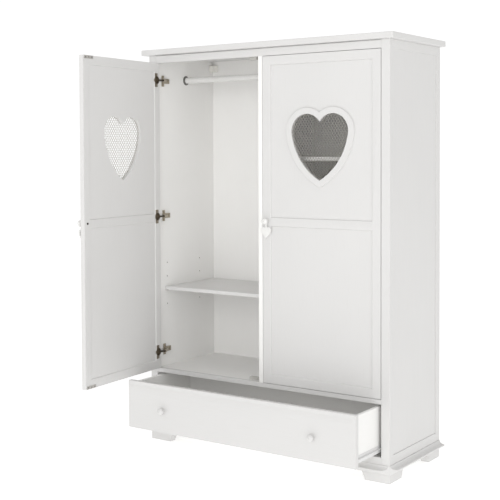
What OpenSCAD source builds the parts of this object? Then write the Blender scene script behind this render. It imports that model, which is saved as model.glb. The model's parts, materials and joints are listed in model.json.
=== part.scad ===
// Two-door wardrobe for a child's room: concealed hinges, heart windows in the doors,
// one wide drawer below. +Z up, the doors face -Y. Drawn with the left door open and the
// drawer pulled out. The origin is on the floor under the middle of that whole outline.

/* [Carcass] */
// Height from the floor to the top face
total_h = 1800; // [1700:10:1900]
// Width across the front stiles
carcass_w = 1214; // [1100:2:1300]
// Depth from the front face to the back edge
carcass_d = 486; // [460:2:560]
// Width of the front stiles and of the side frames' members
stile_w = 37; // [32:1:45]
// Thickness of the face frame
frame_t = 22; // [20:1:24]
// Thickness of the top board
top_t = 25; // [20:1:30]
// Overhang of the top board beyond each side
top_side = 25.5; // [15:0.5:35]
// Overhang of the top board beyond the front
top_front = 27; // [15:1:35]
// Thickness of the centre partition
partition_t = 20; // [18:1:24]
// Depth of the cupboard, from the front face to the back panels
inner_d = 455; // [430:1:458]

/* [Base] */
// Height of the feet
foot_h = 50; // [40:1:60]
// Height of the base frame on the feet
base_h = 24; // [20:1:30]
// Reach of the base moulding beyond the carcass
moulding_out = 25; // [15:1:27]

/* [Doors] */
// Height of the door's lower edge above the floor
door_z = 338; // [330:1:350]
// Height of a door
door_h = 1400; // [1390:1:1401]
// Thickness of a door
door_t = 21; // [20:1:22]
// Gap round doors and drawer front
gap = 2; // [1.5:0.25:3]
// Width of the door frame's members
rail_w = 40; // [36:1:45]
// Height of the middle rail's lower edge above the floor
mid_rail_z = 1012; // [950:1:1080]
// Angle that the left door stands open
open_angle = 86.3; // [0:0.1:100]

/* [Heart window] */
// Radius of the heart's lobes
lobe_r = 72.5; // [60:0.5:80]
// Distance of each lobe's centre from the middle
lobe_x = 61; // [50:0.5:68]
// Height of the lobes' centres above the floor
lobe_z = 1415.5; // [1380:0.5:1440]
// Drop from the lobes' centres to the tip
tip_drop = 204.5; // [180:0.5:220]
// Width of the ring round the window
ring_w = 28; // [20:1:32]

/* [Drawer] */
// How far the drawer is pulled out
drawer_out = 211; // [0:1:300]
// Height of the drawer front's lower edge above the floor
drawer_z = 105; // [100:1:115]
// Height of the drawer front
drawer_h = 210; // [190:1:211]
// Distance of the knobs from the middle
knob_x = 375; // [300:5:420]

/* [Fittings] */
// Diameter of the hanging rail
rail_d = 28; // [22:1:32]
// Height of the hanging rail
hang_z = 1672; // [1600:1:1690]
// Pitch of the shelf pin holes
pin_pitch = 64; // [32:32:96]
// Diameter of the shelf pins
pin_d = 5; // [4:0.5:6]
// Heights of the hinges above the floor
hinge_z = [415, 1038, 1661];

/* [Hidden] */
$fn = 48;

white = [0.93, 0.92, 0.91];
inside_white = [0.86, 0.86, 0.84];
bronze = [0.36, 0.31, 0.25];
steel = [0.75, 0.76, 0.78];
beech = [0.82, 0.71, 0.55];
eps = 0.02;

// Carcass
half_w = carcass_w / 2;
// Front face of the carcass; the open door and the drawer reach forward of it
front_y = 37;
back_y = front_y + carcass_d;
carcass_z = foot_h + base_h;
carcass_top = total_h - top_t;
open_x = half_w - stile_w;
skin_t = 20;
lining_x = half_w - skin_t;
inner_back = front_y + inner_d;
panel_inset = 3;
top_rail_z = door_z + door_h + gap;
shadow_gap = 3;
shadow_depth = 6;
floor_z = door_z - gap;
floor_t = 16;
drawer_top = drawer_z + drawer_h + gap;
bottom_t = 16;
back_t = 8;
back_rail_t = carcass_d - inner_d - back_t;
back_rail_h = 70;
batten_w = 60;

// Base
moulding_drop = 14;
foot_front = 109;
foot_side = 110;
foot_slant = 20;
foot_t = 37;

// Doors, in the door's own frame: the pivot is the origin, x runs along the closed
// door, y goes into the cupboard
edge = 1;
door_w = open_x - partition_t / 2 - 2 * gap;
door_x1 = edge + door_w;
pivot_x = open_x - gap + edge;
door_top = door_z + door_h;
mid_top = mid_rail_z + rail_w;
panel_front = 4;
panel_t = 14;
bevel = 2.8;
heart_x = edge + door_w / 2;
mesh_t = 1.2;
mesh_lap = 8;
ring_proud = 3;

// Concealed hinges, in the same frame: the link turns on the arm's pin as the door
// turns, lies folded in the cup when the door is shut, and ends beside the cup when open
cup_r = 17.5;
cup_x = edge + 5 + cup_r;
cup_depth = 12.5;
cup_wall = 0.8;
flange_t = 1.5;
arm_pivot = [36, 13.5];
link_len = 22.5;
link_closed = 174;
link_ratio = 0.81;
link_turn = link_ratio * open_angle;
link_r = 1.5;
hinge_pin_r = 0.9;
hinge_play = 0.05;
link_w = 8;
cheek_t = 1.5;
cheek_gap = 0.5;
plate_y = 62;

// Door pull
pull_x = door_x1 - rail_w / 2;
pull_z = 1035;
neck_r = 5;
eye_play = 0.08;
neck_len = 8;
knob_r = 14;
pull_t = 5;

// Shelves
shelf_t = 16;
shelf_front = front_y + 60;
shelf_back = inner_back - 1;
pin_len = 16;
pin_deep = 8;
pin_y = [front_y + 78, front_y + 334];
left_shelf_z = 692.5;
right_shelf_z = [692.5, 996.5, 1292.5];
shelf_play = 1;

// Drawer
drawer_front_t = 21;
lip_depth = 2.5;
drawer_side_t = 15;
drawer_side_x = open_x - 13;
drawer_box_z = 130;
drawer_box_top = 306;
drawer_box_d = 440;
drawer_floor_t = 4;
roller_r = 10.5;
roller_w = 6;
roller_x = open_x - 7;
roller_z = 125;
sheet_t = 1.5;
runner_z = 112;
slide_z = 136;
roller_front_y = front_y + 34;
roller_rear_y = front_y + 418;

// Places its children on the left door, open by the given angle
module on_left_door(angle) translate([-pivot_x, front_y, 0]) rotate([0, 0, -angle]) children();

// Places its children on the right door, closed
module on_right_door() mirror([1, 0, 0]) on_left_door(0) children();

// Draws its children and their mirror image across the middle
module both_sides() { children(); mirror([1, 0, 0]) children(); }

// A box between two opposite corners
module block(low, high) translate(low) cube(high - low);

// A wheel or pin along X, from x0 to x1
module round_x(x0, x1, y, z, r) translate([x0, y, z]) rotate([0, 90, 0]) cylinder(h = x1 - x0, r = r);

// A pin along Y, from y0 to y1
module round_y(x, y0, y1, z, r) translate([x, y0, z]) rotate([-90, 0, 0]) cylinder(h = y1 - y0, r = r);

// ---- Carcass ----
module top_board() color(white)
    block([-half_w - top_side, front_y - top_front, carcass_top], [half_w + top_side, back_y, total_h]);

module top_rail() color(white) difference() {
    block([-open_x, front_y, top_rail_z], [open_x, front_y + frame_t, carcass_top]);
    block([-open_x - 1, front_y - 1, carcass_top - shadow_gap], [open_x + 1, front_y + shadow_depth, total_h]);
}

module front_stile() color(white)
    block([-half_w, front_y, carcass_z], [-open_x, front_y + frame_t, carcass_top]);

module side_frame() color(white) difference() {
    block([-half_w, front_y + frame_t, carcass_z], [-lining_x, back_y, carcass_top]);
    translate([-half_w, 0, 0]) block([-1, front_y + stile_w, carcass_z + stile_w],
        [skin_t + 1, back_y - stile_w, carcass_top - stile_w]);
}

module side_panel() color(white) block([-half_w + panel_inset, front_y + stile_w, carcass_z + stile_w],
    [-lining_x - panel_inset, back_y - stile_w, carcass_top - stile_w]);

// Holes for the shelf pins, in the face at x, going towards the side dir
module pin_holes(x, dir, shelves) for (shelf = shelves, y = pin_y, row = [-1 : 2])
    round_x(min(x, x + dir * pin_deep) - (dir < 0 ? 0 : 1), max(x, x + dir * pin_deep) + (dir < 0 ? 1 : 0),
        y, shelf - pin_d / 2 + row * pin_pitch, pin_d / 2);

module lining() block([-lining_x, front_y + frame_t, carcass_z + bottom_t], [-open_x, inner_back, carcass_top]);

module lining_left() color(inside_white) difference() {
    lining();
    pin_holes(-open_x, -1, [left_shelf_z]);
}

module lining_right() color(inside_white) difference() {
    mirror([1, 0, 0]) lining();
    pin_holes(open_x, 1, right_shelf_z);
}

module back_panels() color(inside_white) both_sides()
    block([-lining_x, inner_back, carcass_z + bottom_t], [-0.5, inner_back + back_t, carcass_top]);

module back_rails() color(white) {
    low = inner_back + back_t;
    block([-lining_x, low, carcass_top - back_rail_h], [lining_x, low + back_rail_t, carcass_top]);
    block([-lining_x, low, carcass_z], [lining_x, low + back_rail_t, carcass_z + back_rail_h]);
    block([-batten_w / 2, low, carcass_z + back_rail_h],
        [batten_w / 2, low + back_rail_t, carcass_top - back_rail_h]);
}

module partition() color(inside_white) difference() {
    union() {
        block([-partition_t / 2, front_y, floor_z], [partition_t / 2, front_y + frame_t + eps, top_rail_z]);
        block([-partition_t / 2, front_y + frame_t, floor_z], [partition_t / 2, inner_back, carcass_top]);
    }
    pin_holes(-partition_t / 2, 1, [left_shelf_z]);
    pin_holes(partition_t / 2, -1, right_shelf_z);
}

module cabinet_floor() color(inside_white)
    block([-open_x, front_y + frame_t, floor_z - floor_t], [open_x, inner_back, floor_z]);

module drawer_rail() color(white)
    block([-open_x, front_y, drawer_top], [open_x, front_y + frame_t, floor_z]);

module bottom_rail() color(white)
    block([-open_x, front_y, carcass_z], [open_x, front_y + frame_t, drawer_z - gap]);

module bottom_panel() color(inside_white)
    block([-lining_x, front_y + frame_t, carcass_z], [lining_x, inner_back + back_t, carcass_z + bottom_t]);

// ---- Base ----
module base_frame() color(white) difference() {
    block([-half_w, front_y, foot_h], [half_w, back_y, carcass_z]);
    block([-half_w + foot_t, front_y + foot_t, foot_h - 1], [half_w - foot_t, back_y - foot_t, carcass_z + 1]);
}

// Section of the base moulding: x runs out from the carcass, y runs up
module moulding_section() translate([0, foot_h]) polygon(concat(
    [[0, base_h], [2.5, base_h], [2.5, base_h - 2]],
    [for (a = [180 : 15 : 270]) [2.5 + (moulding_out - 4.5) * (1 + cos(a)), base_h - 2 + (base_h - 10) * sin(a)]],
    [[moulding_out - 1, 7], [moulding_out, 5.5], [moulding_out, 3], [moulding_out - 1.5, 1],
        [2, -moulding_drop], [0, -moulding_drop]]));

// A run of moulding along +X that sticks out towards -Y, mitred where asked
module moulding_run(length, mitre_start, mitre_end) difference() {
    translate([-30, 0, 0]) rotate([90, 0, 90]) mirror([1, 0, 0])
        linear_extrude(height = length + 60) moulding_section();
    if (mitre_start) rotate([0, 0, 225]) translate([0, -100, -1]) cube([100, 200, 200]);
    else translate([-100, -100, -1]) cube([100, 200, 200]);
    if (mitre_end) translate([length, 0, 0]) rotate([0, 0, -45]) translate([0, -100, -1]) cube([100, 200, 200]);
    else translate([length, -100, -1]) cube([100, 200, 200]);
}

module base_moulding_front() color(white)
    translate([-half_w, front_y, 0]) moulding_run(carcass_w, true, true);

module base_moulding_sides() color(white) both_sides()
    translate([-half_w, back_y, 0]) rotate([0, 0, -90]) moulding_run(carcass_d, false, true);

// One board of a bracket foot, its inner end slanted, as a section in XZ run along Y
module foot_board(length, thick) rotate([90, 0, 0]) mirror([0, 0, 1]) linear_extrude(height = thick)
    polygon([[0, 0], [length, 0], [length + foot_slant, foot_h - 3], [length + foot_slant, foot_h], [0, foot_h]]);

// A bracket foot with its corner at the origin
module foot(front_len, side_len) {
    foot_board(front_len, foot_t);
    mirror([1, 0, 0]) rotate([0, 0, 90]) foot_board(side_len, foot_t);
}

module front_feet() color(white) both_sides()
    translate([-half_w, front_y, 0]) foot(foot_front, foot_side);

module back_feet() color(white) both_sides()
    translate([-half_w, back_y, 0]) mirror([0, 1, 0]) foot(foot_side, foot_side);

// ---- Cupboard fittings ----
hang_y = front_y + 232;

module hanging_rail() color(white)
    round_x(-open_x + 2, -partition_t / 2 - 2, hang_y, hang_z, rail_d / 2);

// A rail socket against a wall at the origin, opening along +X, with two screw heads
module rail_flange() {
    difference() {
        union() {
            rotate([0, 90, 0]) cylinder(h = 2, r = rail_d / 2 + 8);
            rotate([0, 90, 0]) cylinder(h = 6, r = rail_d / 2 + 1.5);
        }
        translate([2, 0, 0]) rotate([0, 90, 0]) cylinder(h = 20, r = rail_d / 2 + 0.05);
    }
    for (side = [-1, 1]) translate([1.5, 0, side * (rail_d / 2 + 4.8)]) rotate([0, 90, 0]) cylinder(h = 1.3, r = 2);
}

module rail_flanges() color(bronze) {
    translate([-open_x, hang_y, hang_z]) rail_flange();
    translate([-partition_t / 2, hang_y, hang_z]) mirror([1, 0, 0]) rail_flange();
}

module shelf(x0, x1, z) block([x0 + shelf_play, shelf_front, z], [x1 - shelf_play, shelf_back, z + shelf_t]);

module left_shelf() color(white) shelf(-open_x, -partition_t / 2, left_shelf_z);

module right_shelves() color(white) for (z = right_shelf_z) shelf(partition_t / 2, open_x, z);

// The four pins under one shelf between the faces x0 and x1
module shelf_pin_set(x0, x1, z) for (y = pin_y) {
    round_x(x0 - pin_deep + 0.5, x0 + pin_len - pin_deep, y, z - pin_d / 2, pin_d / 2);
    round_x(x1 - pin_len + pin_deep, x1 + pin_deep - 0.5, y, z - pin_d / 2, pin_d / 2);
}

module shelf_pins() color(steel) {
    shelf_pin_set(-open_x, -partition_t / 2, left_shelf_z);
    for (z = right_shelf_z) shelf_pin_set(partition_t / 2, open_x, z);
}

module corner_blocks() color(beech) both_sides()
    translate([-open_x, inner_back, hang_z + 53]) mirror([0, 1, 0])
        linear_extrude(height = 30) polygon([[0, 0], [32, 0], [32, 4], [4, 32], [0, 32]]);

// A magnetic catch, its magnet face towards -Y, standing on z = 0
module catch_body(height) {
    block([-28, 8, 0], [28, 26, height]);
    block([-16, 4, 1.5], [16, 8, height - 1.5]);
}

module magnet_catches() color(steel) both_sides() {
    translate([-50, front_y + door_t, floor_z]) catch_body(13);
    translate([-50, front_y + frame_t + 3, top_rail_z + 2]) {
        block([-28, -3, -2], [28, 16, 14]);
        block([-16, -0.5, -14], [16, 16, -2]);
    }
}

// ---- Concealed hinges ----
// A screw head on the face x = 0, towards +X
module screw_x(r, h) rotate([0, 90, 0]) cylinder(h = h, r = r);

// A channel-shaped arm on its mounting plate, in the door's frame, centred on z = 0
module hinge_arm() {
    arm_half = link_w / 2 + cheek_gap + cheek_t;
    translate([-edge, 0, 0]) {
        block([0, plate_y - 18, -25], [3, plate_y - 2, 25]);
        block([0, plate_y - 18, -9], [3, plate_y + 30, 9]);
        block([3, plate_y - 16, -11], [8, plate_y + 31, 11]);
        for (side = [-1, 1]) translate([3, plate_y - 10, side * 18]) screw_x(4, 2);
        translate([8, plate_y + 22, 0]) screw_x(5, 2.5);
        translate([8, plate_y + 6, 0]) screw_x(4, 2);
    }
    for (side = [-1, 1]) translate([0, 0, side * (arm_half - cheek_t / 2) - cheek_t / 2])
        linear_extrude(height = cheek_t) arm_cheek();
    translate([0, 0, -arm_half]) linear_extrude(height = 2 * arm_half) arm_web();
    translate([arm_pivot[0], arm_pivot[1], -arm_half]) cylinder(h = 2 * arm_half, r = hinge_pin_r);
}

// Side of the channel: from the plate to round the link's pin
module arm_cheek() {
    translate(arm_pivot) circle(r = 2.6);
    polygon([arm_pivot + [-1, -2.4], arm_pivot + [2.5, 0.7], [33, 27], [16, plate_y], [0, plate_y],
        [4, 36], [14, 29], [25, 26]]);
}

// Back of the channel, clear of the folded link
module arm_web() polygon([[31.5, 21], [33, 22.5], [31.5, 28], [16, plate_y], [4, plate_y],
    [7, 46], [18, 38], [28, 28.5]]);

// A cup with its flange, let into the door's inner face
module hinge_cup() {
    translate([cup_x, door_t, 0]) rotate([90, 0, 0]) difference() {
        union() {
            translate([0, 0, -flange_t]) linear_extrude(height = flange_t) {
                circle(r = cup_r + 1);
                translate([4, 0]) square([20, 62], center = true);
            }
            cylinder(h = cup_depth, r = cup_r);
        }
        translate([0, 0, -5]) cylinder(h = cup_depth - cup_wall + 5, r = cup_r - cup_wall);
    }
    for (side = [-1, 1]) translate([cup_x + 4, door_t + flange_t - 0.2, side * 24]) rotate([-90, 0, 0])
        cylinder(h = 1.2, r = 3.5);
}

// Link drawn with its pin at the origin and its free end along +X
module hinge_link() linear_extrude(height = link_w, center = true) difference() {
    union() {
        circle(r = link_r);
        translate([link_len, 0]) circle(r = link_r);
        translate([0, -link_r]) square([link_len, 2 * link_r]);
    }
    circle(r = hinge_pin_r + hinge_play);
}

module hinge_arms() color(bronze) for (z = hinge_z) translate([0, 0, z]) hinge_arm();
module hinge_cups() color(bronze) for (z = hinge_z) translate([0, 0, z]) hinge_cup();
module hinge_links(turn) color(steel) for (z = hinge_z)
    translate([arm_pivot[0], arm_pivot[1], z]) rotate([0, 0, link_closed + turn]) hinge_link();

// ---- Doors ----
// A bevelled opening through the door between two corners in XZ
module field_cut(x0, z0, x1, z1) {
    block([x0, -1, z0], [x1, door_t + 1, z1]);
    for (face = [[0, bevel], [door_t, door_t - bevel]]) hull() {
        block([x0 - bevel, face[0] - eps, z0 - bevel], [x1 + bevel, face[0] + eps, z1 + bevel]);
        block([x0, face[1] - eps, z0], [x1, face[1] + eps, z1]);
    }
}

module door_frame() color(white) difference() {
    block([edge, 0, door_z], [door_x1, door_t, door_top]);
    field_cut(edge + rail_w, mid_top, door_x1 - rail_w, door_top - rail_w);
    field_cut(edge + rail_w, door_z + rail_w, door_x1 - rail_w, mid_rail_z);
    for (z = hinge_z) round_y(cup_x, door_t - cup_depth, door_t + 1, z, cup_r);
    round_y(pull_x, -1, door_t + 1, pull_z, 2.5);
}

// Right half of the heart's outline, grown by w, from the notch round to the tip
lobe_end = 8;
side_k = (lobe_x * lobe_x + tip_drop * tip_drop - lobe_r * lobe_r)
    / (2 * (lobe_r + lobe_x * cos(lobe_end) - tip_drop * sin(lobe_end)));
side_r = lobe_r + side_k;
side_c = [lobe_x - side_k * cos(lobe_end), side_k * sin(lobe_end)];
function heading(v) = atan2(v[1], v[0]);
tip_a = heading([0, -tip_drop] - side_c);
function arc(centre, r, a0, a1, n) =
    [for (i = [0 : n]) let (a = a0 + (a1 - a0) * i / n) centre + r * [cos(a), sin(a)]];
function heart_half(w) = concat(
    arc([lobe_x, 0], lobe_r + w, acos(-lobe_x / (lobe_r + w)), -lobe_end, 20),
    [for (i = [1 : 10]) let (a = -lobe_end + (tip_a + lobe_end) * i / 10)
        side_c + (side_r + w) * [cos(a), sin(a)]],
    w > 0 ? [for (i = [1 : 5]) let (a = tip_a + (-90 - tip_a) * i / 5) [0, -tip_drop] + w * [cos(a), sin(a)]] : []);
function mirrored(points) = [for (i = [len(points) - 2 : -1 : 1]) [-points[i][0], points[i][1]]];
module heart(w) { half = heart_half(w); polygon(concat(half, mirrored(half))); }

// The heart as a plate between two depths of the door
module heart_plate(w, y0, y1) translate([heart_x, y1, lobe_z]) rotate([90, 0, 0])
    linear_extrude(height = y1 - y0) heart(w);

module upper_panel() color(white) difference() {
    block([edge + rail_w, panel_front, mid_top], [door_x1 - rail_w, panel_front + panel_t, door_top - rail_w]);
    heart_plate(0, 0, door_t + 1);
    heart_plate(mesh_lap, panel_front - 1, panel_front + mesh_t);
}

module lower_panel() color(white)
    block([edge + rail_w, panel_front, door_z + rail_w], [door_x1 - rail_w, panel_front + panel_t, mid_rail_z]);

module heart_ring() color(white) difference() {
    union() {
        heart_plate(ring_w, panel_front - 4, panel_front);
        heart_plate(ring_w - 2, -ring_proud, panel_front - 4 + eps);
    }
    heart_plate(0, -ring_proud - 1, panel_front + 1);
}

module heart_mesh() color(steel) heart_plate(mesh_lap - 0.5, panel_front, panel_front + mesh_t);

module strike_plates() color(steel) {
    block([door_x1 - 66, door_t, door_z + 1], [door_x1 - 6, door_t + 1.5, door_z + 14]);
    block([door_x1 - 66, door_t, door_top - 14], [door_x1 - 6, door_t + 1.5, door_top - 1]);
}

// Turned knob with a neck, standing on the face y = 0 towards -Y
module knob(r, neck, length) rotate([90, 0, 0]) rotate_extrude() polygon(concat(
    [[0, 0], [neck + 3, 0], [neck + 3, 1.5], [neck, 2.5], [neck, length]],
    [for (a = [-60 : 12 : 90]) [r * cos(a), length + 0.62 * r * (1 + sin(a)) - 0.8]]));

module door_knob() color(white) {
    translate([pull_x, 0, pull_z]) knob(knob_r, neck_r, neck_len + 3);
    round_y(pull_x, -2, door_t + 1, pull_z, 2.4);
    round_y(pull_x, door_t, door_t + 2.5, pull_z, 4.5);
}

// A small heart that hangs from the neck of the knob by an eye
pull_lobe = 13.5;
module heart_pull() color(white) translate([pull_x, -3.2, pull_z]) rotate([90, 0, 0])
    linear_extrude(height = pull_t) difference() {
        union() {
            circle(r = neck_r + 5);
            translate([-4.5, -30]) square([9, 30]);
            translate([0, -40]) {
                for (side = [-1, 1]) translate([side * 11.5, 2]) circle(r = pull_lobe);
                polygon([[-24.2, -2.6], [-22, -8.5], [-12, -21], [0, -33], [12, -21], [22, -8.5], [24.2, -2.6], [11, 12], [-11, 12]]);
            }
        }
        circle(r = neck_r + eye_play);
    }

// ---- Drawer ----
module pulled_out() translate([0, -drawer_out, 0]) children();

module drawer_front() color(white) pulled_out() difference() {
    block([-open_x + gap, front_y, drawer_z], [open_x - gap, front_y + drawer_front_t, drawer_z + drawer_h]);
    translate([-open_x + 20, front_y, drawer_z + drawer_h]) rotate([90, 0, 90])
        linear_extrude(height = 2 * (open_x - 20)) polygon([[-1, -16.5], [lip_depth, -16.5], [0, -32], [-1, -32]]);
    for (side = [-1, 1])
        round_y(side * knob_x, front_y - 1, front_y + drawer_front_t + 1, drawer_z + drawer_h / 2 - 8, 2.5);
}

module drawer_sides() color(inside_white) pulled_out() both_sides()
    block([-drawer_side_x, front_y + drawer_front_t, drawer_box_z],
        [-drawer_side_x + drawer_side_t, front_y + drawer_box_d, drawer_box_top]);

module drawer_back() color(inside_white) pulled_out()
    block([-drawer_side_x + drawer_side_t, front_y + drawer_box_d - drawer_side_t, drawer_box_z],
        [drawer_side_x - drawer_side_t, front_y + drawer_box_d, drawer_box_top - 12]);

module drawer_bottom() color(inside_white) pulled_out()
    block([-drawer_side_x + drawer_side_t, front_y + drawer_front_t, drawer_box_z + 5],
        [drawer_side_x - drawer_side_t, front_y + drawer_box_d - drawer_side_t, drawer_box_z + 5 + drawer_floor_t]);

module drawer_knobs() color(white) pulled_out() for (side = [-1, 1]) {
    translate([side * knob_x, front_y, drawer_z + drawer_h / 2 - 8]) knob(knob_r + 1, neck_r + 1, neck_len + 2);
    round_y(side * knob_x, front_y - 2, front_y + drawer_front_t + 1, drawer_z + drawer_h / 2 - 8, 2.4);
    round_y(side * knob_x, front_y + drawer_front_t, front_y + drawer_front_t + 2.5, drawer_z + drawer_h / 2 - 8, 4.5);
}

// The drawer's own slides, fixed under its sides, with the rear rollers' pins
module drawer_runners() color(white) pulled_out() both_sides() {
    x = -drawer_side_x;
    block([x - sheet_t, front_y + drawer_front_t, 119], [x, front_y + drawer_box_d - 8, slide_z + 14]);
    block([x - 10, front_y + drawer_front_t, slide_z], [x - sheet_t + eps, front_y + drawer_box_d - 36, slide_z + sheet_t]);
    block([x - sheet_t, front_y + drawer_front_t, drawer_box_z - sheet_t],
        [x + drawer_side_t - 2, front_y + drawer_box_d - 8, drawer_box_z]);
    round_x(-roller_x - roller_w / 2 - 1, x, roller_rear_y, roller_z, 2.5);
}

// The cabinet's runners on the linings, with the front rollers' pins
module cabinet_runners() color(white) both_sides() {
    block([-open_x, front_y + frame_t, runner_z], [-open_x + sheet_t, front_y + inner_d - 12, runner_z + 34]);
    block([-open_x + sheet_t - eps, front_y + frame_t, runner_z - sheet_t],
        [-drawer_side_x - 3.2, front_y + inner_d - 12, runner_z]);
    block([-open_x, front_y + frame_t, runner_z - sheet_t], [-open_x + sheet_t, front_y + inner_d - 12, runner_z + 1]);
    round_x(-open_x, -roller_x + roller_w / 2 + 1, roller_front_y, roller_z, 2.5);
}

// A grooved nylon roller on its pin
module roller(y) difference() {
    round_x(-roller_x - roller_w / 2, -roller_x + roller_w / 2, y, roller_z, roller_r);
    round_x(-roller_x - roller_w, -roller_x + roller_w, y, roller_z, 2.5 + hinge_play);
}

module front_rollers() color(inside_white) both_sides() roller(roller_front_y);
module rear_rollers() color(inside_white) pulled_out() both_sides() roller(roller_rear_y);

top_board();
top_rail();
front_stile();  // front_stile_left
mirror([1, 0, 0]) front_stile();  // front_stile_right
side_frame();  // side_frame_left
mirror([1, 0, 0]) side_frame();  // side_frame_right
side_panel();  // side_panel_left
mirror([1, 0, 0]) side_panel();  // side_panel_right
lining_left();
lining_right();
back_panels();
back_rails();
partition();
cabinet_floor();
drawer_rail();
bottom_rail();
bottom_panel();
base_frame();
base_moulding_front();
base_moulding_sides();
front_feet();
back_feet();
hanging_rail();
rail_flanges();
left_shelf();
right_shelves();
shelf_pins();
corner_blocks();
on_left_door(0) hinge_arms();  // hinge_arms_left
on_right_door() hinge_arms();  // hinge_arms_right
magnet_catches();
cabinet_runners();
front_rollers();
rear_rollers();
on_left_door(open_angle) door_frame();  // left_door_frame
on_left_door(open_angle) upper_panel();  // left_upper_panel
on_left_door(open_angle) lower_panel();  // left_lower_panel
on_left_door(open_angle) heart_ring();  // left_heart_ring
on_left_door(open_angle) heart_mesh();  // left_heart_mesh
on_left_door(open_angle) hinge_cups();  // left_hinge_cups
on_left_door(open_angle) strike_plates();  // left_strike_plates
on_left_door(open_angle) door_knob();  // left_door_knob
on_left_door(open_angle) heart_pull();  // left_heart_pull
on_left_door(0) hinge_links(link_turn);  // left_hinge_links
on_right_door() door_frame();  // right_door_frame
on_right_door() upper_panel();  // right_upper_panel
on_right_door() lower_panel();  // right_lower_panel
on_right_door() heart_ring();  // right_heart_ring
on_right_door() heart_mesh();  // right_heart_mesh
on_right_door() hinge_cups();  // right_hinge_cups
on_right_door() strike_plates();  // right_strike_plates
on_right_door() door_knob();  // right_door_knob
on_right_door() heart_pull();  // right_heart_pull
on_right_door() hinge_links(0);  // right_hinge_links
drawer_front();
drawer_sides();
drawer_back();
drawer_bottom();
drawer_knobs();
drawer_runners();
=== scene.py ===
import json
import math

import bmesh
import bpy
from mathutils import Matrix, Vector


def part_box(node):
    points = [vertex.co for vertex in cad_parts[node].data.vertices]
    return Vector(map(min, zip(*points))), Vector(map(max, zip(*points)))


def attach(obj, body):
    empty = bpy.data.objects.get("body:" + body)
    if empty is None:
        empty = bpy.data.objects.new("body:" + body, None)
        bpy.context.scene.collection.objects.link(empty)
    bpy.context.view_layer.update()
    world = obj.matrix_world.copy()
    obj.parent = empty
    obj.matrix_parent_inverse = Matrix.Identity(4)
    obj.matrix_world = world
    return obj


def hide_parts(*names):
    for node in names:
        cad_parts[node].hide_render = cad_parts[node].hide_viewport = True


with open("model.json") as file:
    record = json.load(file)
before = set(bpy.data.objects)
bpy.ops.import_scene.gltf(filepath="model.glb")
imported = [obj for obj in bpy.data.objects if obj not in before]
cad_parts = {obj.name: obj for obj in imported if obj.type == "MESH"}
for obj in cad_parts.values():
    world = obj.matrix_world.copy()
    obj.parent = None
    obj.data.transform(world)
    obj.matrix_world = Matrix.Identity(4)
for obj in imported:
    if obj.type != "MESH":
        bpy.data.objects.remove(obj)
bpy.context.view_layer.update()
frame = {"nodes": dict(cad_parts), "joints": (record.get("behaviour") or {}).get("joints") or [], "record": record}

MM = 0.001


JOINTS = {j["name"]: j for j in frame["joints"]}
BODY = {n: b for b, ns in frame["record"]["behaviour"]["bodies"].items() for n in ns}

# The carcass's front face and the doors' size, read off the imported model
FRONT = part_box("drawer_rail")[0].y
DOOR_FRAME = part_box("right_door_frame")
DOOR_W = DOOR_FRAME[1].x - DOOR_FRAME[0].x
DOOR_T = DOOR_FRAME[1].y - DOOR_FRAME[0].y

SIDES = ("left_", "right_")
MERGE = 0.002 * MM  # vertices nearer than this are one
FLAT = math.radians(0.2)  # faces bent less than this are one
MANY_CORNERS = 30
SKIN = 0.1 * MM  # slack in telling which side of a door's inner face something lies on


# ---- Camera, lights and floor ----
def look(yaw, pitch, roll):
    """Camera axes for a heading, a downward pitch and a roll, in degrees."""
    y, p, r = (math.radians(a) for a in (yaw, pitch, roll))
    forward = Vector((-math.sin(y) * math.cos(p), math.cos(y) * math.cos(p), -math.sin(p)))
    right = Vector((math.cos(y), math.sin(y), 0))
    up = right.cross(forward)
    right, up = right * math.cos(r) + up * math.sin(r), up * math.cos(r) - right * math.sin(r)
    return Matrix((right, up, -forward)).transposed()


lens = bpy.data.cameras.new("camera")
lens.sensor_width = 36
lens.lens = 76.886
lens.shift_x = 0.1086
lens.shift_y = -0.12
lens.clip_end = 100
camera = bpy.data.objects.new("camera", lens)
camera.matrix_world = Matrix.Translation((2.4891, FRONT - 3.8524, 1.3292)) @ look(36.34, 2.0, -0.32).to_4x4()
bpy.context.collection.objects.link(camera)
bpy.context.scene.camera = camera
bpy.context.scene.view_settings.view_transform = "Standard"


def softbox(name, place, target, size, power):
    """A large square area light aimed at a point."""
    data = bpy.data.lights.new(name, "AREA")
    data.shape = "SQUARE"
    data.size = size
    data.energy = power
    light = bpy.data.objects.new(name, data)
    light.location = place
    light.rotation_euler = (Vector(target) - Vector(place)).to_track_quat("-Z", "Y").to_euler()
    bpy.context.collection.objects.link(light)


softbox("front_light", (1.7, -5.6, 1.9), (-0.1, FRONT, 0.45), 3.6, 78)
softbox("side_light", (6.0, -1.8, 1.2), (-0.4, FRONT, 0.6), 3.2, 34)
softbox("top_light", (0.4, -2.6, 5.0), (0, FRONT, 0.6), 3.0, 8)

# The sky lights the object softly and looks white to the camera
world = bpy.data.worlds.new("studio")
world.use_nodes = True
bpy.context.scene.world = world
sky = world.node_tree.nodes["Background"]
sky.inputs["Color"].default_value = (1.0, 1.0, 0.995, 1)
sky.inputs["Strength"].default_value = 0.68
seen = world.node_tree.nodes.new("ShaderNodeBackground")
seen.inputs["Color"].default_value = (1, 1, 1, 1)
seen.inputs["Strength"].default_value = 1.05
ray = world.node_tree.nodes.new("ShaderNodeLightPath")
both = world.node_tree.nodes.new("ShaderNodeMixShader")
world.node_tree.links.new(ray.outputs["Is Camera Ray"], both.inputs[0])
world.node_tree.links.new(sky.outputs[0], both.inputs[1])
world.node_tree.links.new(seen.outputs[0], both.inputs[2])
world.node_tree.links.new(both.outputs[0], world.node_tree.nodes["World Output"].inputs["Surface"])


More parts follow.
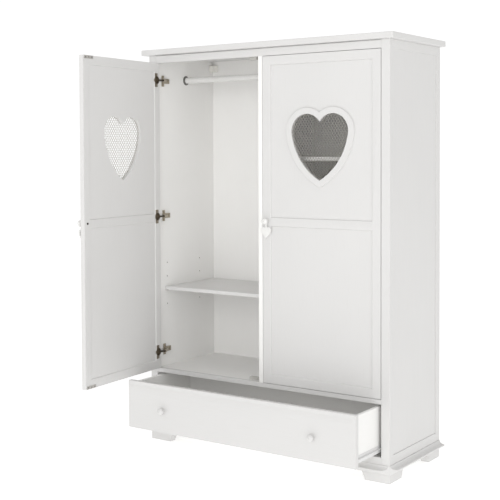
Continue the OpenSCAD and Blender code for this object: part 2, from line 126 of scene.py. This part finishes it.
# ---- Materials ----
class Shader:
    """A Principled material and short calls for its nodes."""

    def __init__(self, name, colour, rough, metal=0.0, coat=0.0, specular=0.5):
        self.material = bpy.data.materials.new(name)
        self.material.use_nodes = True
        self.tree = self.material.node_tree
        self.bsdf = self.tree.nodes["Principled BSDF"]
        self.bsdf.inputs["Base Color"].default_value = (*colour, 1)
        self.bsdf.inputs["Roughness"].default_value = rough
        self.bsdf.inputs["Metallic"].default_value = metal
        self.bsdf.inputs["Coat Weight"].default_value = coat
        self.bsdf.inputs["Coat Roughness"].default_value = 0.12
        self.bsdf.inputs["Specular IOR Level"].default_value = specular
        self.coord = self.tree.nodes.new("ShaderNodeTexCoord").outputs["Object"]

    def link(self, a, b):
        """A link from an output to an input."""
        self.tree.links.new(a, b)

    def noise(self, stretch, scale, detail=3.0, rough=0.55):
        """Noise over the object's own coordinates, stretched per axis."""
        mapping = self.tree.nodes.new("ShaderNodeMapping")
        mapping.inputs["Scale"].default_value = stretch
        tex = self.tree.nodes.new("ShaderNodeTexNoise")
        tex.inputs["Scale"].default_value = scale
        tex.inputs["Detail"].default_value = detail
        tex.inputs["Roughness"].default_value = rough
        self.link(self.coord, mapping.inputs["Vector"])
        self.link(mapping.outputs["Vector"], tex.inputs["Vector"])
        return tex.outputs["Fac"]

    def ramp(self, value, stops):
        """A colour ramp through (position, colour) stops."""
        node = self.tree.nodes.new("ShaderNodeValToRGB")
        elements = node.color_ramp.elements
        while len(elements) < len(stops):
            elements.new(0.5)
        for element, (place, colour) in zip(elements, stops):
            element.position = place
            element.color = (*colour, 1)
        self.link(value, node.inputs["Fac"])
        return node.outputs["Color"]

    def span(self, value, low, high, start=0.3, end=0.7):
        """A value from start..end mapped to low..high."""
        node = self.tree.nodes.new("ShaderNodeMapRange")
        node.inputs["From Min"].default_value = start
        node.inputs["From Max"].default_value = end
        node.inputs["To Min"].default_value = low
        node.inputs["To Max"].default_value = high
        self.link(value, node.inputs["Value"])
        return node.outputs["Result"]

    def mix(self, value, a, b, how="MIX"):
        """Two colours mixed by a value."""
        node = self.tree.nodes.new("ShaderNodeMix")
        node.data_type = "RGBA"
        node.blend_type = how
        for socket, source in ((node.inputs["Factor"], value), (node.inputs[6], a), (node.inputs[7], b)):
            if isinstance(source, (int, float)):
                socket.default_value = source
            else:
                self.link(source, socket)
        return node.outputs[2]

    def bump(self, height, distance, strength, before=None):
        """A bump on top of an earlier one."""
        node = self.tree.nodes.new("ShaderNodeBump")
        node.inputs["Distance"].default_value = distance
        node.inputs["Strength"].default_value = strength
        self.link(height, node.inputs["Height"])
        if before is not None:
            self.link(before, node.inputs["Normal"])
        return node.outputs["Normal"]

    def finish(self, colour=None, rough=None, normal=None):
        """The material, with what is given wired to its Principled node."""
        for source, socket in ((colour, "Base Color"), (rough, "Roughness"), (normal, "Normal")):
            if source is not None:
                self.link(source, self.bsdf.inputs[socket])
        return self.material


def shade(colour, k):
    """A colour made k times as bright, kept within 1."""
    return tuple(min(1.0, c * k) for c in colour)


# Noise scales that draw the grain out along one axis
GRAIN = {"x": (0.05, 1, 1), "y": (1, 0.05, 1), "z": (1, 1, 0.05)}


def painted(name, colour, rough, grain, fibre=0.00022, wear=0.0):
    """Brushed and rolled paint over wood, the grain faintly telling through along one axis."""
    s = Shader(name, colour, rough, coat=0.06)
    along = s.noise(GRAIN[grain], 240, 6.0, 0.62)
    brush = s.noise(GRAIN[grain], 70, 3.0, 0.5)
    cloud = s.noise((1, 1, 1), 2.6, 2.0, 0.5)
    peel = s.noise((1, 1, 1), 1300, 2.0, 0.5)
    tone = s.ramp(cloud, [(0.30, shade(colour, 0.985)), (0.70, shade(colour, 1.006))])
    pores = s.ramp(along, [(0.28, (0.975, 0.973, 0.968)), (0.45, (1, 1, 1))])
    tint = s.mix(1.0, tone, pores, "MULTIPLY")
    if wear:
        specks = s.noise((1, 1, 1), 180, 5.0, 0.7)
        rub = s.ramp(specks, [(0.60, (1, 1, 1)), (0.74, (1 - wear, 1 - 1.1 * wear, 1 - 1.3 * wear))])
        tint = s.mix(1.0, tint, rub, "MULTIPLY")
    normal = s.bump(along, fibre, 0.12)
    normal = s.bump(brush, 0.0002, 0.12, normal)
    normal = s.bump(peel, 0.00006, 0.35, normal)
    return s.finish(tint, s.span(brush, rough - 0.06, rough + 0.07), normal)


def lacquered(name, colour):
    """Glossy sprayed lacquer with a trace of orange peel."""
    s = Shader(name, colour, 0.22, coat=0.5)
    cloud = s.noise((1, 1, 1), 30, 2.0)
    peel = s.noise((1, 1, 1), 700, 2.0, 0.45)
    tint = s.ramp(cloud, [(0.3, shade(colour, 0.965)), (0.7, shade(colour, 1.015))])
    return s.finish(tint, s.span(cloud, 0.18, 0.30), s.bump(peel, 0.00008, 0.3))


def metal(name, colour, rough, stretch=(1, 1, 0.06), scratch=0.00004, patch=0.16):
    """Plated or stamped metal: drawn lines one way, cloudy plating, small stains."""
    s = Shader(name, colour, rough, metal=1.0)
    lines = s.noise(stretch, 1800, 4.0, 0.6)
    cloud = s.noise((1, 1, 1), 85, 4.0, 0.6)
    tint = s.mix(1.0, s.ramp(cloud, [(0.3, shade(colour, 1 - patch)), (0.72, shade(colour, 1 + patch))]),
                 s.ramp(lines, [(0.3, (0.86, 0.86, 0.87)), (0.6, (1, 1, 1))]), "MULTIPLY")
    return s.finish(tint, s.span(cloud, rough - 0.08, rough + 0.12), s.bump(lines, scratch, 0.5))


def enamel(name, colour, rough):
    """Powder-coated or dipped enamel on steel: fine pebbling and soft colour drift."""
    s = Shader(name, colour, rough, coat=0.15)
    cloud = s.noise((1, 1, 1), 12, 3.0)
    pebble = s.noise((1, 1, 1), 950, 3.0, 0.6)
    tint = s.ramp(cloud, [(0.3, shade(colour, 0.96)), (0.7, shade(colour, 1.02))])
    return s.finish(tint, s.span(pebble, rough - 0.05, rough + 0.08), s.bump(pebble, 0.00007, 0.4))


def wire_finish(name, colour):
    """Dull galvanised wire: half metal, with zinc bloom and darker spangles."""
    s = Shader(name, colour, 0.55, metal=0.15)
    spangle = s.noise((1, 1, 1), 420, 4.0, 0.6)
    bloom = s.noise((1, 1, 1), 60, 2.0)
    tint = s.mix(1.0, s.ramp(spangle, [(0.3, shade(colour, 0.78)), (0.6, colour)]),
                 s.ramp(bloom, [(0.3, (0.92, 0.92, 0.92)), (0.7, (1, 1, 1))]), "MULTIPLY")
    return s.finish(tint, s.span(spangle, 0.4, 0.6), s.bump(spangle, 0.00003, 0.4))


def moulded(name, colour, rough, soft=0.0):
    """Moulded plastic: slight mottling and a spark-eroded surface."""
    s = Shader(name, colour, rough)
    if soft:
        s.bsdf.inputs["Subsurface Weight"].default_value = soft
        s.bsdf.inputs["Subsurface Scale"].default_value = 0.002
    mottle = s.noise((1, 1, 1), 120, 3.0)
    spark = s.noise((1, 1, 1), 1600, 3.0, 0.65)
    tint = s.ramp(mottle, [(0.3, shade(colour, 0.93)), (0.7, shade(colour, 1.05))])
    return s.finish(tint, s.span(mottle, rough - 0.05, rough + 0.08), s.bump(spark, 0.00006, 0.5))


def raw_beech(name):
    """Bare beech: fine lengthwise grain with short darker flecks."""
    colour = (0.86, 0.845, 0.80)
    s = Shader(name, colour, 0.58)
    rings = s.noise(GRAIN["z"], 330, 6.0, 0.65)
    flecks = s.noise((1, 1, 0.2), 900, 3.0, 0.7)
    tint = s.mix(1.0, s.ramp(rings, [(0.3, shade(colour, 0.78)), (0.5, colour), (0.75, shade(colour, 1.12))]),
                 s.ramp(flecks, [(0.30, (0.80, 0.72, 0.62)), (0.40, (1, 1, 1))]), "MULTIPLY")
    return s.finish(tint, s.span(rings, 0.5, 0.68), s.bump(rings, 0.00025, 0.4))


# Paint colours outside and inside, the inside one lightened as painted light for the shade inside the cabinet,
# then one material per finish
WHITE = (0.720, 0.713, 0.705)
# The same white paint made brighter inside than out: painted light standing in for the light that the shaded
# inside lacks
INNER_PAINTED_LIGHT = (0.940, 0.933, 0.917)
PAINT = {g: painted("white_paint_" + g, WHITE, 0.42, g) for g in "xyz"}
# Edge materials: real wear specks, and a colour 3 % lighter than the paint as a painted highlight on the rounded
# edges
EDGE_WEAR_AND_HIGHLIGHT = {g: painted("worn_edge_and_highlight_" + g, shade(WHITE, 1.03), 0.34, g, 0.0003, 0.14) for g in "xyz"}
INSIDE_PAINTED_LIGHT = {g: painted("inner_paint_lightened_" + g, INNER_PAINTED_LIGHT, 0.55, g, 0.00026) for g in "xyz"}
INSIDE_EDGE_WEAR_AND_HIGHLIGHT = {g: painted("inner_edge_and_highlight_" + g, shade(INNER_PAINTED_LIGHT, 1.03), 0.45, g, 0.0003, 0.12) for g in "xyz"}
LACQUER = lacquered("lacquer", (0.83, 0.825, 0.81))
CUP = metal("nickel_flange", (0.30, 0.265, 0.215), 0.36)
# Near-black metal: painted shade in the hinge cups' wells, and the real dark steel of the knob bolts' heads
CUP_SHADE_AND_BOLT_STEEL = metal("cup_shade_and_bolt_steel", (0.050, 0.042, 0.035), 0.40, patch=0.3)
# Dark metal for the crosses that stand for screw recesses: painted shade in the hollows
SCREW_RECESS_SHADE = metal("screw_recess_painted_shade", (0.10, 0.095, 0.09), 0.5)
ARM = metal("bronze_nickel", (0.47, 0.42, 0.34), 0.40)
LINK = metal("steel_link", (0.07, 0.06, 0.05), 0.38)
SOCKET = enamel("dark_socket", (0.17, 0.165, 0.155), 0.42)
RAIL = enamel("rail_enamel", (0.80, 0.795, 0.78), 0.30)
RUNNER = enamel("runner_enamel", (0.79, 0.79, 0.785), 0.32)
NYLON = moulded("nylon", (0.74, 0.74, 0.71), 0.38, 0.2)
CATCH = moulded("catch_plastic", (0.52, 0.51, 0.48), 0.42)
STRIKE = metal("strike_steel", (0.62, 0.60, 0.57), 0.38, (0.06, 1, 1))
WIRE = wire_finish("galvanised_wire", (0.50, 0.475, 0.43))
ZINC = metal("zinc_screws", (0.52, 0.51, 0.48), 0.34, (1, 1, 1))
BEECH = raw_beech("bare_beech")
# The brown of bare board, made far darker than bare board is: painted shade inside the pin holes
RAW_BOARD_AND_SHADE = moulded("raw_board_and_shade", (0.10, 0.075, 0.05), 0.85)


# ---- Pieces made from CAD nodes ----
def link_piece(name, mesh, materials, body, smooth=9, nodes=()):
    """A finished mesh as a piece: materials, shading, body, and the nodes it stands for hidden."""
    piece = bpy.data.objects.new(name, mesh)
    bpy.context.collection.objects.link(piece)
    mesh.materials.clear()
    for m in materials:
        mesh.materials.append(m)
    mesh.polygons.foreach_set("use_smooth", [True] * len(mesh.polygons))
    mesh.set_sharp_from_angle(angle=math.radians(smooth))
    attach(piece, body)
    if nodes:
        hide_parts(*nodes)


def cleaned(node):
    """A CAD node's mesh with doubled vertices merged and flat faces joined."""
    bm = bmesh.new()
    bm.from_mesh(frame["nodes"][node].data)
    bmesh.ops.remove_doubles(bm, verts=bm.verts, dist=MERGE)
    bmesh.ops.dissolve_limit(bm, angle_limit=FLAT, verts=bm.verts, edges=bm.edges)
    return bm


def as_piece(bm, name, materials, node, smooth, nodes=()):
    """A bmesh as a piece on a node's body. The bmesh is freed."""
    mesh = bpy.data.meshes.new(name)
    bm.to_mesh(mesh)
    bm.free()
    link_piece(name, mesh, materials, BODY[node], smooth, nodes)


def placed(bm, place):
    """A bmesh moved to its place, with its faces turned outwards."""
    bmesh.ops.transform(bm, matrix=place, verts=bm.verts)
    bmesh.ops.recalc_face_normals(bm, faces=bm.faces)
    return bm


def rounded(node, materials, width, steps=2, smooth=9, sharpest=35):
    """A copy of a CAD node, its outer edges rounded in the second material if there is one."""
    bm = cleaned(node)
    for face in bm.faces:
        face.material_index = 0
    if width:
        limit = math.radians(sharpest)
        edges = [e for e in bm.edges if len(e.link_faces) == 2 and e.calc_face_angle_signed(0) > limit]
        bmesh.ops.bevel(bm, geom=edges, offset=width * MM, offset_type="OFFSET", segments=steps,
                        profile=0.5, affect="EDGES", clamp_overlap=True,
                        material=1 if len(materials) > 1 else -1)
    # A many-cornered face round a hole is split here, so that it can't fold over the hole
    bmesh.ops.triangulate(bm, faces=[f for f in bm.faces if len(f.verts) > MANY_CORNERS])
    as_piece(bm, node + "_finished", materials, node, smooth, [node])


def wood(grain):
    """Outside paint and its worn edge, the edge lightened as a painted highlight, for a board whose grain runs
    along an axis.
    """
    return [PAINT[grain], EDGE_WEAR_AND_HIGHLIGHT[grain]]


def inner(grain):
    """Inside paint lightened as painted light, and its worn edge lightened further as a painted highlight, for a
    board whose grain runs along an axis.
    """
    return [INSIDE_PAINTED_LIGHT[grain], INSIDE_EDGE_WEAR_AND_HIGHLIGHT[grain]]


# Each node's materials and rounding in millimetres, then bevel steps where they aren't 2
ROUNDED = {
    "top_board": (wood("x"), 3.0, 4), "top_rail": (wood("x"), 0.8), "drawer_rail": (wood("x"), 1.0),
    "bottom_rail": (wood("x"), 1.0), "front_stile_left": (wood("z"), 1.5, 3),
    "front_stile_right": (wood("z"), 1.5, 3), "side_frame_left": (wood("z"), 1.2),
    "side_frame_right": (wood("z"), 1.2), "side_panel_left": (wood("z"), 0.5),
    "side_panel_right": (wood("z"), 0.5), "lining_left": (inner("z"), 0.4), "lining_right": (inner("z"), 0.4),
    "back_panels": (inner("z"), 0.3), "back_rails": (wood("x"), 1.2), "partition": (inner("z"), 0.8),
    "cabinet_floor": (inner("x"), 0.6), "bottom_panel": (inner("x"), 0.6), "base_frame": (wood("x"), 1.0),
    "base_moulding_front": (wood("x"), 1.0), "base_moulding_sides": (wood("y"), 1.0),
    "front_feet": (wood("x"), 1.5, 3), "back_feet": (wood("y"), 1.5, 3),
    "left_shelf": (wood("x"), 1.2), "right_shelves": (wood("x"), 1.2),
    "drawer_front": (wood("x"), 2.0, 3), "drawer_sides": (inner("y"), 1.0), "drawer_back": (inner("x"), 1.0),
    "drawer_bottom": (inner("x"), 0.3), "corner_blocks": ([BEECH], 1.0),
    "magnet_catches": ([CATCH], 0.6), "cabinet_runners": ([RUNNER], 0.3), "drawer_runners": ([RUNNER], 0.3),
    "shelf_pins": ([ZINC], 0.5), "hinge_arms_left": ([ARM], 0.3), "hinge_arms_right": ([ARM], 0.3),
}
for side in SIDES:
    ROUNDED[side + "door_frame"] = (wood("z"), 1.2)
    ROUNDED[side + "upper_panel"] = (wood("z"), 0.8)
    ROUNDED[side + "lower_panel"] = (wood("z"), 0.5)
    ROUNDED[side + "heart_ring"] = (wood("z"), 1.6, 3)
    ROUNDED[side + "strike_plates"] = ([STRIKE], 0.4)
    ROUNDED[side + "heart_pull"] = ([LACQUER, LACQUER], 2.2, 5, 40)
    ROUNDED[side + "hinge_links"] = ([LINK], 0.3)
for node, how in ROUNDED.items():
    rounded(node, *how)
for node, paint in (("left_door_knob", LACQUER), ("right_door_knob", LACQUER), ("drawer_knobs", PAINT["y"])):
    rounded(node, [paint], 0, smooth=45)
for node, paint in (("hanging_rail", RAIL), ("rail_flanges", SOCKET),
                    ("front_rollers", NYLON), ("rear_rollers", NYLON)):
    rounded(node, [paint], 0.5, smooth=12, sharpest=60)


# ---- Raw board, darkened as painted shade, inside the shelf pin holes ----
SHELF_Z = (0.6925, 0.9965, 1.2925)  # the undersides of the shelves
PIN_LINES = (78, 334)  # the holes' two columns behind the front face, in millimetres
PIN_STEP = 64 * MM
PIN_ROWS = range(-1, 3)
PIN_DROP = 2.5 * MM  # a pin's centre under the shelf it holds
BORE_REACH = 2.6 * MM


def raw_shaded_bores(node, shelves):
    """The walls and bottoms of a node's pin holes, given the colour of unpainted board darkened far past it as
    painted shade.
    """
    mesh = bpy.data.objects[node + "_finished"].data
    mesh.materials.append(RAW_BOARD_AND_SHADE)
    axes = [(FRONT + y * MM, z - PIN_DROP + row * PIN_STEP)
            for y in PIN_LINES for z in shelves for row in PIN_ROWS]
    for face in mesh.polygons:
        c = face.center
        if any(math.hypot(c.y - y, c.z - z) < BORE_REACH for y, z in axes):
            face.material_index = len(mesh.materials) - 1


for node, shelves in (("lining_left", SHELF_Z[:1]), ("lining_right", SHELF_Z), ("partition", SHELF_Z)):
    raw_shaded_bores(node, shelves)


# ---- Heart windows of hexagonal wire ----
HEART_Z = 1.4155  # the centres of the heart's two lobes
MESH_DEPTH = 4.6 * MM  # the netting's middle, behind the door's front face
EDGE_GAP = 1.0 * MM  # from a door's pivot to its hinge edge


def heart_outline(grow, steps=28):
    """The window's outline in its own plane, grown outwards, as points round the heart."""
    lobe_x, lobe_r, tip, end = 61 * MM, 72.5 * MM, 204.5 * MM, math.radians(8)
    k = (lobe_x ** 2 + tip ** 2 - lobe_r ** 2) / (2 * (lobe_r + lobe_x * math.cos(end) - tip * math.sin(end)))
    side_r, side_c = lobe_r + k, Vector((lobe_x - k * math.cos(end), k * math.sin(end)))
    tip_a = math.atan2(-tip - side_c.y, -side_c.x)
    start = math.acos(-lobe_x / (lobe_r + grow))
    half = []
    for i in range(steps + 1):
        a = start + (-end - start) * i / steps
        half.append(Vector((lobe_x, 0)) + (lobe_r + grow) * Vector((math.cos(a), math.sin(a))))
    for i in range(1, steps + 1):
        a = -end + (tip_a + end) * i / steps
        half.append(side_c + (side_r + grow) * Vector((math.cos(a), math.sin(a))))
    return half + [Vector((-p.x, p.y)) for p in reversed(half)]


def inside(point, outline):
    """Whether a point lies inside a closed outline."""
    hit = False
    for a, b in zip(outline, outline[1:] + outline[:1]):
        if (a.y > point.y) != (b.y > point.y) and point.x < a.x + (b.x - a.x) * (point.y - a.y) / (b.y - a.y):
            hit = not hit
    return hit


def tube(bm, points, radius, sides=5):
    """A thin tube through 3-D points."""
    rings = []
    for i, p in enumerate(points):
        ahead = points[min(i + 1, len(points) - 1)] - points[max(i - 1, 0)]
        ahead.normalize()
        u = ahead.cross(Vector((0, 1, 0))).normalized()
        v = ahead.cross(u)
        angles = [2 * math.pi * k / sides for k in range(sides)]
        rings.append([bm.verts.new(p + radius * (u * math.cos(a) + v * math.sin(a))) for a in angles])
    for a, b in zip(rings, rings[1:]):
        for k in range(sides):
            bm.faces.new((a[k], a[(k + 1) % sides], b[(k + 1) % sides], b[k]))
    bm.faces.new(rings[0][::-1])
    bm.faces.new(rings[-1])


def hex_wire(name, node, place):
    """Hexagonal netting cut to the window, with twisted uprights and plain slants."""
    wide, twist, slant, wire, wind = 13.0 * MM, 5.0 * MM, 5.0 * MM, 0.95 * MM, 0.60 * MM
    rows, cols = range(-23, 10), range(-12, 13)  # more than covers the window
    half_turns, steps = 3, 6
    tuck = 0.2 * MM
    outline = heart_outline(6.5 * MM)
    bm = bmesh.new()

    def flat(x, z, y=0.0):
        return Vector((x, y, z))

    for row in rows:
        z = row * (twist + slant)
        for col in cols:
            x = (col + 0.5 * (row % 2)) * wide
            low, high = Vector((x, z - twist / 2)), Vector((x, z + twist / 2))
            if inside(low, outline) and inside(high, outline):
                for turn in (0, math.pi):
                    winds = [(turn + half_turns * math.pi * t / steps, t / steps - 0.5)
                             for t in range(steps + 1)]
                    tube(bm, [flat(x + wind * math.cos(a), z + twist * up, wind * math.sin(a))
                              for a, up in winds], wire)
            for way in (-1, 1):
                far = Vector((x + way * wide / 2, z + twist / 2 + slant))
                if inside(high, outline) and inside(far, outline):
                    off = way * wind * 0.8
                    tube(bm, [flat(x + off, high.y - tuck), flat((x + far.x) / 2, high.y + slant / 2),
                              flat(far.x - off, far.y + tuck)], wire)
    as_piece(placed(bm, place), name, [WIRE], node, 60, [node])


def door_place(side):
    """From a closed left-hand door's own frame (hinge edge at x = 0) to the door as drawn."""
    if side == "left_":
        pivot = Vector(JOINTS["left_door_swing"]["pos_m"])
        turn = -math.radians(max(JOINTS["left_door_swing"]["range_deg"]))
        return Matrix.Translation((pivot.x, pivot.y, 0)) @ Matrix.Rotation(turn, 4, "Z")
    pivot = Vector(JOINTS["right_door_swing"]["pos_m"])
    return Matrix.Translation((pivot.x, pivot.y, 0)) @ Matrix.Scale(-1, 4, Vector((1, 0, 0)))


for side in SIDES:
    middle = Matrix.Translation((EDGE_GAP + DOOR_W / 2, MESH_DEPTH, HEART_Z))
    hex_wire(side + "wire_netting", side + "heart_mesh", door_place(side) @ middle)


# ---- Hinge cups and screw recesses, painted dark as shade in their hollows ----
HINGE_Z = (0.415, 1.038, 1.661)  # the hinges' heights
SCREW_IN, SCREW_UP = 27.5 * MM, 24 * MM  # a flange screw from the pivot, and above or below the cup
FLANGE_FACE = 22.5 * MM  # 1 mm below the tops of the flange screws' heads
INWARDS = Vector((0, 1, 0))  # out of a shut door's inner face, into the cabinet


def hinge_cups(side):
    """Cups with a bright flange and a well painted near-black as shade."""
    node = side + "hinge_cups"
    back = door_place(side).inverted()
    bm = cleaned(node)
    for face in bm.faces:
        face.material_index = 1 if (back @ face.calc_center_median()).y < DOOR_T - SKIN else 0
    as_piece(bm, node + "_finished", [CUP, CUP_SHADE_AND_BOLT_STEEL], node, 9, [node])


def recesses(name, node, places, place, reach=2.0):
    """Dark crosses of painted shade for screw recesses, let into a fitting's face and a hair proud of it."""
    across = Vector((0, 0, 1))
    along = INWARDS.cross(across)
    wide = 0.30
    proud, deep, taper = 0.04, -0.12, 0.9
    plan = [(1, wide), (wide, wide), (wide, 1), (-wide, 1), (-wide, wide), (-1, wide),
            (-1, -wide), (-wide, -wide), (-wide, -1), (wide, -1), (wide, -wide), (1, -wide)]
    bm = bmesh.new()
    for centre in places:
        layers = [[bm.verts.new(centre + INWARDS * depth * MM + (along * u + across * v) * reach * k * MM)
                   for u, v in plan] for depth, k in ((proud, 1.0), (deep, taper))]
        bm.faces.new(layers[0])
        bm.faces.new(layers[1][::-1])
        for i in range(len(plan)):
            j = (i + 1) % len(plan)
            bm.faces.new((layers[1][i], layers[1][j], layers[0][j], layers[0][i]))
    as_piece(placed(bm, place), name, [SCREW_RECESS_SHADE], node, 9)


def strike_recess_shades(side):
    """Three screw recesses of painted shade along each strike plate, at the door's top and bottom."""
    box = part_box(side + "strike_plates")
    back = door_place(side).inverted()
    mesh = frame["nodes"][side + "strike_plates"].data
    points = [back @ v.co for v in mesh.vertices]
    x0, x1 = min(p.x for p in points), max(p.x for p in points)
    y1 = max(p.y for p in points)
    middle = (box[0].z + box[1].z) / 2
    along_plate = (0.16, 0.5, 0.84)
    places = []
    for half in ([p.z for p in points if p.z < middle], [p.z for p in points if p.z > middle]):
        z = (min(half) + max(half)) / 2
        places += [Vector((x0 + (x1 - x0) * k, y1, z)) for k in along_plate]
    recesses(side + "strike_recess_shades", side + "strike_plates", places, door_place(side), 3.0)


def knob_bolts(side):
    """The head of the bolt that holds the knob, dark steel on the door's inner face."""
    piece = bpy.data.objects[side + "door_knob_finished"]
    back = door_place(side).inverted() @ piece.matrix_world
    piece.data.materials.append(CUP_SHADE_AND_BOLT_STEEL)
    for face in piece.data.polygons:
        if (back @ face.center).y > DOOR_T + SKIN:
            face.material_index = 1


for side in SIDES:
    hinge_cups(side)
    knob_bolts(side)
    strike_recess_shades(side)
    recesses(side + "cup_recess_shades", side + "hinge_cups",
             [Vector((SCREW_IN, FLANGE_FACE, z + way * SCREW_UP)) for z in HINGE_Z for way in (-1, 1)],
             door_place(side))


# ---- Floor ----
def floor():
    """A wide pale floor that fades into the white behind it."""
    bm = bmesh.new()
    bmesh.ops.create_grid(bm, x_segments=24, y_segments=24, size=60)
    mesh = bpy.data.meshes.new("studio_floor")
    bm.to_mesh(mesh)
    bm.free()
    s = Shader("studio_floor", (0.93, 0.93, 0.925), 0.9, specular=0.1)
    s.bsdf.inputs["Emission Color"].default_value = (1, 1, 1, 1)
    s.bsdf.inputs["Emission Strength"].default_value = 0.42
    cloud = s.noise((1, 1, 1), 1.4, 2.0)
    s.finish(s.ramp(cloud, [(0.3, (0.925, 0.925, 0.92)), (0.7, (0.94, 0.94, 0.935))]))
    mesh.materials.append(s.material)
    ground = bpy.data.objects.new("studio_floor", mesh)
    bpy.context.collection.objects.link(ground)


floor()
